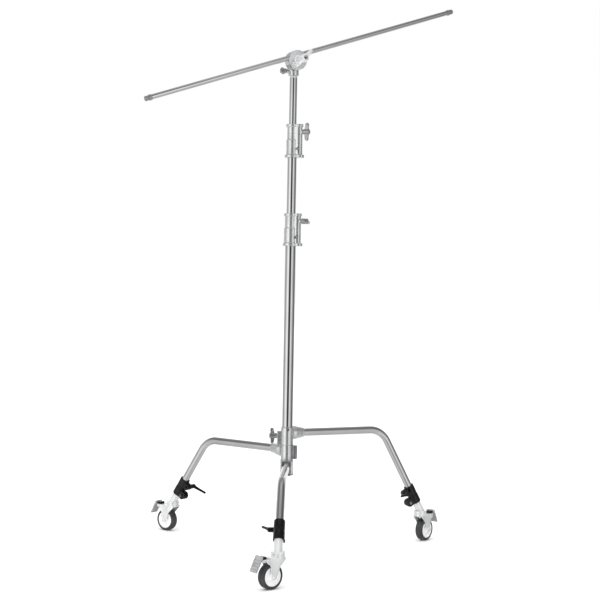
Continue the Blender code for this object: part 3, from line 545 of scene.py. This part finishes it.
def make_leg_end(which):
    where = clamp_frame(which)
    top, low = CLAMP_HALF, -CLAMP_HALF
    narrow, wide = [r + GAP for r in (LEG_R, STEM_R)]
    profile = [(0.0, low), (0.0172, low), (0.0172, -0.0035), (0.0160, -0.0025), (0.0160, 0.0025),
               (0.0168, 0.0035), (0.0168, top), (0.0, top)]
    upper = [(0.008, 0.0270)] + arc(BOLT_OFF, LEVER_Z, 0.0098, 75, -75, 13) + [(0.008, 0.0070)]
    lower = [(0.008, -0.0310)] + arc(BOLT_OFF, BOLT_Z, 0.0138, -80, 80, 17) + [(0.008, -0.0080)]
    inside = [(0.0, -0.06), (wide, -0.06), (wide, 0.0), (narrow, 0.0), (narrow, 0.06), (0.0, 0.06)]
    build(
        f"clamp_{which}", "black", lathe(profile, STEPS, soft=0.0009), where,
        ("UNION", slab(upper, -LUG_HALF, LUG_HALF, UPRIGHT, 0.0012)),
        ("UNION", slab(lower, -LUG_HALF, LUG_HALF, UPRIGHT, 0.0012)),
        ("DIFFERENCE", lathe(inside, STEPS, about_z(1.7))),
        ("DIFFERENCE", bore(0.0036, -0.03, 0.03, FEW, at(BOLT_OFF, 0, LEVER_Z) @ ALONG_Y)),
        ("DIFFERENCE", bore(0.0030, -0.03, 0.03, FEW, at(BOLT_OFF, 0, BOLT_Z) @ ALONG_Y)),
        ("DIFFERENCE", block(0.004, 0.06, -0.0010, 0.0010, -0.06, 0.06)),
    )
    head = [(0.0, -0.0180), (0.0042, -0.0180), (0.0052, -0.0170), (0.0052, -LUG_HALF - GAP),
            (0.0030, -LUG_HALF - GAP), (0.0030, LUG_HALF + GAP + 0.0005), (0.0, LUG_HALF + GAP + 0.0005)]
    nut = slab(hexagon(0.0100), LUG_HALF + GAP, 0.0158, ALONG_Y, 0.0006)
    build(f"clamp_bolt_{which}", "steel", lathe(head, FEW, ALONG_Y, soft=0.0004),
          where @ at(BOLT_OFF, 0, BOLT_Z), ("UNION", nut),
          ("DIFFERENCE", slab(hexagon(0.0050), -0.02, -0.0150, ALONG_Y)))

    droop = math.radians(LEVER_DROOP[which]) - slant(which)
    hinge = where @ at(BOLT_OFF, 0, LEVER_Z) @ Matrix.Rotation(droop, 4, "Y")
    face = LUG_HALF + GAP
    boss = [(0.0, -0.0155), (0.0036, -0.0155), (0.0036, face), (0.0066, face), (0.0078, face + 0.003),
            (0.0074, 0.0330), (0.0050, 0.0355), (0.0, 0.0355)]
    grip = [(0.0, -0.003), (0.0058, -0.001), (0.0050, 0.012), (0.0040, 0.030), (0.0040, 0.0465),
            (0.0022, 0.0490), (0.0, 0.0490)]
    reach = at(0, 0.0280, 0) @ Matrix.Rotation(math.radians(31), 4, "Z") @ ALONG_X
    build(f"ratchet_lever_{which}", "black", lathe(boss, FEW, ALONG_Y, soft=0.0008), hinge,
          ("UNION", lathe(grip, FEW, reach, soft=0.0010)),
          ("DIFFERENCE", rod(0.0032, 0.0340, 0.04, FEW, ALONG_Y)))

    swivel = leg_frame(which) @ at(SWIVEL_X, 0, 0)
    lean = at(0, 0, MITRE_Z) @ Vector((0, 0, 1)).rotation_difference(leg_up(which)).to_matrix().to_4x4()
    race = [(0.0, 0.0800), (0.0042, 0.0800), (0.0050, 0.0810), (0.0050, 0.0985), (0.0205, 0.0985),
            (0.0215, 0.0995), (0.0215, 0.1035), (0.0200, MITRE_Z), (0.0, MITRE_Z)]
    walls = [(STEM_BORE, -0.030), (STEM_R, -0.030), (STEM_R, CLAMP_S - 0.0015), (STEM_BORE, CLAMP_S - 0.0015)]
    below = block(-0.05, 0.05, -0.05, 0.05, 0.02, MITRE_Z - 0.0010)
    stem = carved("stem", lathe(walls, STEPS, lean, True, 0.0004), ROOT @ swivel, [("DIFFERENCE", below)])
    tube = bmesh.new()
    tube.from_mesh(stem.data)
    bmesh.ops.transform(tube, matrix=(ROOT @ swivel).inverted(), verts=tube.verts)
    bpy.data.objects.remove(stem)
    build(f"caster_stem_{which}", "zinc", lathe(race, STEPS, soft=0.0006), swivel, ("UNION", tube))


def make_caster(which):
    where = leg_frame(which) @ at(SWIVEL_X, 0, 0) @ about_z(TRAIL_AZIMUTH[which] - LEG_AZIMUTH[which])
    cup = [(0.0, 0.0865), (0.0205, 0.0865), (0.0205, 0.0915), (0.0195, 0.0925), (0.0205, 0.0935),
           (0.0205, 0.0968), (0.0190, 0.0982), (0.0, 0.0982)]
    outline = [(-0.0150, 0.0900), (-0.0120, 0.0820), (0.0060, 0.0640)]
    outline += arc(TRAIL, TYRE_R, 0.0085, 200, 355, 17)
    outline += [(0.0370, 0.0620), (0.0420, 0.0730), (0.0520, 0.0785), (0.0530, 0.0880), (0.0480, 0.0900)]
    outline = rounded(outline, 0.006, True, 5)
    build(
        f"fork_{which}", "zinc", lathe(cup, STEPS, soft=0.0007), where,
        ("UNION", block(-0.0150, 0.0330, -0.0186, 0.0186, 0.0868, 0.0903, None, 0.0008)),
        ("UNION", slab(outline, FORK_IN, FORK_OUT, UPRIGHT, 0.0007)),
        ("UNION", slab(outline, -FORK_OUT, -FORK_IN, UPRIGHT, 0.0007)),
        ("DIFFERENCE", bore(0.0050, 0.05, 0.12, STEPS)),
        ("DIFFERENCE", bore(AXLE_R, -0.03, 0.03, FEW, at(TRAIL, 0, TYRE_R) @ ALONG_Y)),
        ("DIFFERENCE", bore(0.0025, -0.03, 0.03, FEW, at(PIVOT[0], 0, PIVOT[1]) @ ALONG_Y)),
    )
    hub = where @ at(TRAIL, 0, TYRE_R)
    outer = FORK_OUT + GAP
    build(
        f"axle_{which}", "zinc", rod(AXLE_R, -0.0245, 0.0245, FEW, ALONG_Y, 0.0008), hub,
        ("UNION", slab(hexagon(0.0122), outer, 0.0232, ALONG_Y, 0.0008)),
        ("UNION", slab(hexagon(0.0122), -0.0232, -outer, ALONG_Y, 0.0008)),
        ("DIFFERENCE", block(-0.02, 0.02, 0.0236, 0.03, -0.02, 0.02)),
        ("DIFFERENCE", block(-0.02, 0.02, -0.03, -0.0236, -0.02, 0.02)),
    )
    face = 0.0125
    inner = AXLE_R + GAP
    rim = [(inner, -0.0155), (0.0090, -0.0155), (0.0095, -0.0105), (0.0130, -0.0098), (0.0205, -0.0104),
           (0.0225, -face), (RIM_R - GAP, -face), (RIM_R - GAP, face), (0.0225, face), (0.0205, 0.0104),
           (0.0130, 0.0098), (0.0095, 0.0105), (0.0090, 0.0155), (inner, 0.0155)]
    build(f"wheel_hub_{which}", "white", lathe(rim, WHEEL_STEPS, ALONG_Y, True, 0.0008), hub)
    tyre = [(RIM_R, -0.0125), (0.0335, -TYRE_HALF), (TYRE_R - 0.0004, -0.0100), (TYRE_R, -0.0030),
            (TYRE_R, 0.0030), (TYRE_R - 0.0004, 0.0100), (0.0335, TYRE_HALF), (RIM_R, 0.0125)]
    build(f"tyre_{which}", "rubber", lathe(tyre, WHEEL_STEPS, ALONG_Y, True, 0.0020), hub)

    pivot = where @ at(PIVOT[0], 0, PIVOT[1])
    plate = [(0.0196, 0.0135), (0.0215, 0.0165), (0.0245, 0.0140)]
    for k in range(5):
        x, z = 0.0262 + 0.0040 * k, 0.0096 - 0.0080 * k
        plate += [(x + 0.0012, z + 0.0006), (x + 0.0026, z - 0.0042), (x + 0.0014, z - 0.0048)]
    plate += [(0.0430, -0.0290), (0.0400, -0.0285), (0.0215, 0.0080), (0.0196, 0.0040)]
    node = f"brake_pedal_{which}"
    build(node, "grey", slab(plate, -0.0150, 0.0150, UPRIGHT, 0.0005), pivot)
    core = [(0.0020, 0.0050), (0.0190, 0.0050), (0.0190, 0.0130), (0.0040, 0.0130)]
    build(node, "black", slab(core, -0.0100, 0.0100, UPRIGHT, 0.0010, 0.0012), pivot,
          extra=f"brake_block_{which}.look")
    bracket = [(-0.0040, -0.0040), (0.0190, -0.0030), (0.0190, 0.0048), (-0.0030, 0.0048)]
    build(node, "zinc", slab(bracket, -0.0110, 0.0110, UPRIGHT, 0.0006, 0.0010), pivot,
          ("UNION", rod(0.0025, -0.0186, 0.0186, FEW, ALONG_Y, 0.0004)), extra=f"brake_bracket_{which}.look")


def make_collar(which, spec):
    where = about_z(COLLAR_AZ)
    z0, z1, step = spec["z0"], spec["z1"], spec["step"]
    profile = [
        (0.0, z0), (spec["flange"], z0), (spec["flange"], z0 + 0.009),
        (spec["lower"], z0 + 0.0105), (spec["lower"], step - 0.001), (spec["upper"], step + 0.001),
        (spec["upper"], z1 - 0.0095), (spec["top_flange"], z1 - 0.0085), (spec["top_flange"], z1), (0.0, z1),
    ]
    ear = [(0.0, -EAR_HALF), (EAR_X - 0.004, -EAR_HALF)] + arc(EAR_X - 0.005, 0, EAR_HALF, -60, 60, 13)
    ear += [(EAR_X - 0.004, EAR_HALF), (0.0, EAR_HALF)]
    reach = EAR_X + 0.0065
    screw_z = (z0 + step) / 2 - 0.001
    build(
        f"{which}_collar", "cast", lathe(profile, STEPS, soft=0.0013), where,
        ("UNION", slab([(x - 0.0015, y) for x, y in ear], z0 + 0.004, z1 - 0.004, None, 0.0012)),
        ("UNION", slab([(x + 0.0045, y * 1.15) for x, y in ear], z0, z0 + 0.0090, None, 0.0012)),
        ("UNION", slab([(x + 0.0010, y * 1.1) for x, y in ear], z1 - 0.0088, z1, None, 0.0012)),
        ("UNION", rod(0.0078, 0.01, reach, FEW, at(0, 0, spec["handle"]) @ ALONG_X, 0.0010)),
        ("DIFFERENCE", bore(spec["bore_low"], z0 - 0.01, spec["lip"] + GAP, STEPS)),
        ("DIFFERENCE", bore(spec["bore_high"], spec["lip"] - 0.001, z1 + 0.01, STEPS)),
        ("DIFFERENCE", bore(0.0036, 0.005, 0.06, FEW, at(0, 0, spec["handle"]) @ ALONG_X)),
        ("DIFFERENCE", bore(0.0030, -0.03, 0.03, FEW, at(0.0245, 0, screw_z) @ ALONG_Y)),
        ("DIFFERENCE", block(0.004, 0.06, -0.0009, 0.0009, z0 - 0.01, step)),
    )
    seat = -EAR_HALF - 0.0022
    screw = [(0.0, -0.0175), (0.0046, -0.0175), (0.0054, -0.0165), (0.0054, seat), (0.0030, seat),
             (0.0030, EAR_HALF), (0.0, EAR_HALF)]
    build(f"{which}_collar_screw", "steel", lathe(screw, FEW, ALONG_Y, soft=0.0004),
          where @ at(0.0245, 0, screw_z), ("DIFFERENCE", slab(hexagon(0.0055), -0.02, -0.0148, ALONG_Y)))
    t_handle(f"{which}_collar_handle", where @ at(0, 0, spec["handle"]), spec["bore_high"] + 2 * GAP, reach,
             reach + 0.0235, 0.0290, spec["turn"])


def make_column():
    tubes = (
        ("base_column", BASE_R, BASE_BORE, SOCKET_FLOOR + GAP, BASE_TOP),
        ("middle_riser", MID_R, MID_BORE, MID_BOTTOM, MID_TOP),
        ("top_riser", TOP_R, TOP_BORE, TOP_BOTTOM, TOP_TOP),
    )
    for node, outer, inner, low, high in tubes:
        profile = [(inner, low), (outer, low), (outer, high), (inner, high)]
        build(node, "chrome", lathe(profile, STEPS, None, True, 0.0004), at())
    for which, spec in COLLARS.items():
        make_collar(which, spec)
    stud = [(0.0, 1.5100), (0.0100, 1.5100), (TOP_BORE - GAP, 1.5112), (TOP_BORE - GAP, TOP_TOP + GAP),
            (TOP_R, TOP_TOP + GAP), (TOP_R, 1.5385), (0.0105, 1.5403), (STUD_R, 1.5403), (STUD_R, 1.5560),
            (0.0068, 1.5575), (0.0068, 1.5635), (STUD_R, 1.5650), (STUD_R, STUD_TOP - 0.0012),
            (STUD_R - 0.0012, STUD_TOP), (0.0, STUD_TOP)]
    build("top_stud", "zinc", lathe(stud, STEPS, soft=0.0003), at())


def disc(span, radius):
    """A round plate about the clamp axis, which is local -Y."""
    a0, a1 = span
    edge = 0.0012
    profile = [(0.0, a0), (radius - edge, a0), (radius, a0 + edge), (radius, a1 - edge), (radius - edge, a1),
               (0.0, a1)]
    return lathe(profile, STEPS, UPRIGHT, soft=0.0008)


def make_head():
    where = at(0, 0, HEAD_Z) @ about_z(HEAD_YAW)
    low = 1.5406 - HEAD_Z
    lock = about_z(STUD_LOCK_AZ - HEAD_YAW)
    lock_z = STUD_LOCK_Z - HEAD_Z
    neck = [(0.0, low), (0.0158, low), (0.0170, low + 0.0012), (0.0170, low + 0.0270), (0.0135, low + 0.0370),
            (0.0125, 0.0060), (0.0, 0.0060)]
    build(
        "grip_body", "cast", disc(BODY_A, DISC_R), where,
        ("UNION", lathe(neck, STEPS, soft=0.0012)),
        ("UNION", rod(0.0082, 0.0, 0.0235, FEW, lock @ at(0, 0, lock_z) @ ALONG_X, 0.0008)),
        ("DIFFERENCE", block(-0.05, 0.05, -0.05, -BODY_A[1], -0.0315, 0.05)),
        ("DIFFERENCE", bore(STUD_R, low - 0.01, STUD_TOP + GAP - HEAD_Z, STEPS)),
        ("DIFFERENCE", bore(0.0036, 0.0, 0.05, FEW, lock @ at(0, 0, lock_z) @ ALONG_X)),
    )
    slope = Matrix.Rotation(math.radians(-ARM_SLOPE), 4, "Y")
    rod_line = at(0, -ARM_A, 0) @ slope @ at(0, 0, ARM_OFF) @ ALONG_X
    small = at(0, -ARM_A, 0) @ slope @ at(0, 0, -0.0150) @ ALONG_X
    for name, span in (("rear_jaw", REAR_JAW_A), ("front_jaw", FRONT_JAW_A)):
        build(
            f"grip_{name}", "cast", disc(span, DISC_R), where,
            ("DIFFERENCE", bore(ARM_R, -0.05, 0.05, STEPS, rod_line)),
            ("DIFFERENCE", rod(0.0048, -0.05, 0.05, FEW, small)),
            ("DIFFERENCE", bore(GRIP_BOLT_R, -0.05, 0.05, FEW, UPRIGHT)),
        )
    start = FRONT_JAW_A[1] + GAP
    end = start + 0.0560
    hub = [
        (0.0, start), (0.0150, start), (0.0150, start + 0.003), (0.0128, start + 0.006),
        (0.0125, end - 0.002), (0.0110, end), (0.0, end),
    ]
    near, far = end - 0.0240, end - 0.0030
    wing = [(0.0, near), (0.030, near + 0.003)] + arc(0.0330, (near + far) / 2, 0.0070, -70, 70, 13)
    wing += [(0.030, far - 0.001), (0.0, far)]
    wing += [(-x, y) for x, y in reversed(wing[1:-1])]
    flipped = Matrix.Diagonal((1, -1, 1, 1))
    build(
        "grip_handle", "zinc", lathe(hub, STEPS, UPRIGHT, soft=0.0010),
        where @ Matrix.Rotation(math.radians(-GRIP_TURN), 4, "Y"),
        ("UNION", slab(wing, -0.0045, 0.0045, flipped, 0.0020)),
        ("DIFFERENCE", bore(GRIP_BOLT_R, 0.0, 0.15, FEW, UPRIGHT)),
        ("DIFFERENCE", rod(0.0078, end - 0.0120, end + 0.01, FEW, UPRIGHT)),
    )
    bolt = rod(GRIP_BOLT_R, REAR_JAW_A[0] + 0.0005, end - 0.0130, FEW, UPRIGHT, 0.0004)
    build("grip_bolt", "steel", bolt, where)
    t_handle("stud_lock_handle", about_z(STUD_LOCK_AZ) @ at(0, 0, STUD_LOCK_Z), STUD_R + 2 * GAP, 0.0235,
             0.0440, 0.0240, 62.0, 0.9)

    line = where @ rod_line
    near, far = ARM_LEFT + CAP_LENGTH, ARM_RIGHT - CAP_LENGTH
    tube = [(ARM_BORE, near), (ARM_R, near), (ARM_R, far), (ARM_BORE, far)]
    build("arm_tube", "chrome", lathe(tube, STEPS, None, True, 0.0003), line)
    for name, end, way in (("left", ARM_LEFT, 1), ("right", ARM_RIGHT, -1)):
        cap = [
            (0.0, 0.0), (0.0068, 0.0), (ARM_R, 0.0012), (ARM_R, 0.0090), (0.0062, 0.0098), (0.0062, 0.0128),
            (0.0094, 0.0134), (0.0094, CAP_LENGTH - 2 * GAP), (ARM_BORE - GAP, CAP_LENGTH - 2 * GAP),
            (ARM_BORE - GAP, CAP_LENGTH + 0.018), (0.0, CAP_LENGTH + 0.018),
        ]
        placed = [(radius, end + way * z) for radius, z in cap]
        build(f"arm_end_{name}", "satin", lathe(placed, STEPS, soft=0.0003), line)


make_hub()
for leg in LEG_AZIMUTH:
    make_leg(leg)
    make_leg_end(leg)
    make_caster(leg)
make_column()
make_head()


# Stage, light and camera

FLOOR_REACH = 40.0


def make_floor():
    bm = bmesh.new()
    reach = FLOOR_REACH
    corners = [bm.verts.new((x * reach, y * reach, -0.0002)) for x, y in ((-1, -1), (1, -1), (1, 1), (-1, 1))]
    bm.faces.new(corners)
    floor = in_scene("floor", bm, at())
    paint = bpy.data.materials.new("floor_paper")
    paint.use_nodes = True
    nodes, links = paint.node_tree.nodes, paint.node_tree.links
    shader = nodes["Principled BSDF"]
    spot = nodes.new("ShaderNodeTexCoord").outputs["Object"]
    tone = ramp(nodes, links, noise(nodes, links, spot, 3.0, 5.0), [(0.3, 0.90), (0.7, 0.915)])
    links.new(tone, shader.inputs["Base Color"])
    shader.inputs["Roughness"].default_value = 0.9
    shader.inputs["Specular IOR Level"].default_value = 0.1
    floor.data.materials.append(paint)
    floor.visible_glossy = False


def make_world():
    """A pale studio: soft banks at the sides, a dark gap behind the camera and a dim band above level."""
    world = bpy.data.worlds.new("studio")
    bpy.context.scene.world = world
    world.use_nodes = True
    nodes, links = world.node_tree.nodes, world.node_tree.links
    back = nodes["Background"]
    split = nodes.new("ShaderNodeSeparateXYZ")
    links.new(nodes.new("ShaderNodeTexCoord").outputs["Generated"], split.inputs[0])
    flip = nodes.new("ShaderNodeMath")
    flip.operation = "MULTIPLY"
    flip.inputs[1].default_value = -1.0
    links.new(split.outputs["Y"], flip.inputs[0])
    heading = nodes.new("ShaderNodeMath")
    heading.operation = "ARCTAN2"
    links.new(split.outputs["X"], heading.inputs[0])
    links.new(flip.outputs[0], heading.inputs[1])
    share = nodes.new("ShaderNodeMapRange")
    share.inputs["From Min"].default_value = -math.pi
    share.inputs["From Max"].default_value = math.pi
    links.new(heading.outputs[0], share.inputs["Value"])
    around = ramp(nodes, links, share.outputs["Result"],
                  [((degrees + 180) / 360, level) for degrees, level in AROUND])
    height = nodes.new("ShaderNodeMapRange")
    height.inputs["From Min"].default_value = -1.0
    height.inputs["From Max"].default_value = 1.0
    links.new(split.outputs["Z"], height.inputs["Value"])
    poles = ramp(nodes, links, height.outputs["Result"], POLES)
    toward = ramp(nodes, links, height.outputs["Result"], POLE_SHARE)
    lit = nodes.new("ShaderNodeMix")
    lit.data_type = "RGBA"
    links.new(toward, lit.inputs["Factor"])
    links.new(around, lit.inputs["A"])
    links.new(poles, lit.inputs["B"])
    seen = nodes.new("ShaderNodeMix")
    seen.data_type = "RGBA"
    links.new(nodes.new("ShaderNodeLightPath").outputs["Is Camera Ray"], seen.inputs["Factor"])
    links.new(lit.outputs["Result"], seen.inputs["A"])
    seen.inputs["B"].default_value = (1.0, 1.0, 1.0, 1.0)
    links.new(seen.outputs["Result"], back.inputs["Color"])
    back.inputs["Strength"].default_value = 1.0


# headings from the camera's side of the stand, in degrees towards +X, with how bright the studio is there
AROUND = (
    (-180, 0.95), (-134, 0.60), (-96, 0.34), (-66, 0.80), (-42, 1.15), (-26, 0.75), (-16, 0.06), (14, 0.05),
    (24, 0.60), (38, 1.05), (50, 0.56), (66, 0.46), (84, 0.18), (104, 0.10), (124, 0.40), (150, 0.90),
    (180, 0.95),
)
# how bright the poles are and how far they cover the banks: 0 straight down, 0.5 level, 1 straight up
POLES = ((0.0, 0.56), (0.45, 0.56), (0.55, 0.20), (0.75, 0.10), (0.93, 0.14), (1.0, 0.50))
POLE_SHARE = ((0.0, 0.90), (0.20, 0.75), (0.37, 0.0), (0.62, 0.0), (0.78, 0.74), (1.0, 0.80))


def soft_sun(name, heading, height, strength, spread):
    """Light from a wide patch of sky. It fills matte surfaces and leaves the reflections to the studio."""
    data = bpy.data.lights.new(name, "SUN")
    data.energy = strength
    data.angle = math.radians(spread)
    made = bpy.data.objects.new(name, data)
    bpy.context.scene.collection.objects.link(made)
    made.rotation_euler = (math.radians(90 - height), 0.0, math.radians(heading))
    made.visible_glossy = False


def make_camera():
    spot = Vector((-0.027, -4.103, 0.885))
    yaw, pitch, roll = 0.008, 0.016, 0.018  # radians
    forward = Vector((math.sin(yaw) * math.cos(pitch), math.cos(yaw) * math.cos(pitch), -math.sin(pitch)))
    level = Vector((math.cos(yaw), -math.sin(yaw), 0.0))
    above = level.cross(forward)
    right = level * math.cos(roll) + above * math.sin(roll)
    up = above * math.cos(roll) - level * math.sin(roll)
    data = bpy.data.cameras.new("camera")
    data.sensor_width = 36.0
    data.lens = 77.76
    data.clip_end = 200.0
    camera = bpy.data.objects.new("camera", data)
    bpy.context.scene.collection.objects.link(camera)
    camera.matrix_world = Matrix.Translation(spot) @ Matrix((right, up, -forward)).transposed().to_4x4()
    bpy.context.scene.camera = camera


make_floor()
make_world()
soft_sun("overhead", 0.0, 90.0, 2.9, 120.0)
soft_sun("front", -28.0, 38.0, 1.1, 70.0)
make_camera()
bpy.context.scene.view_settings.view_transform = "Standard"
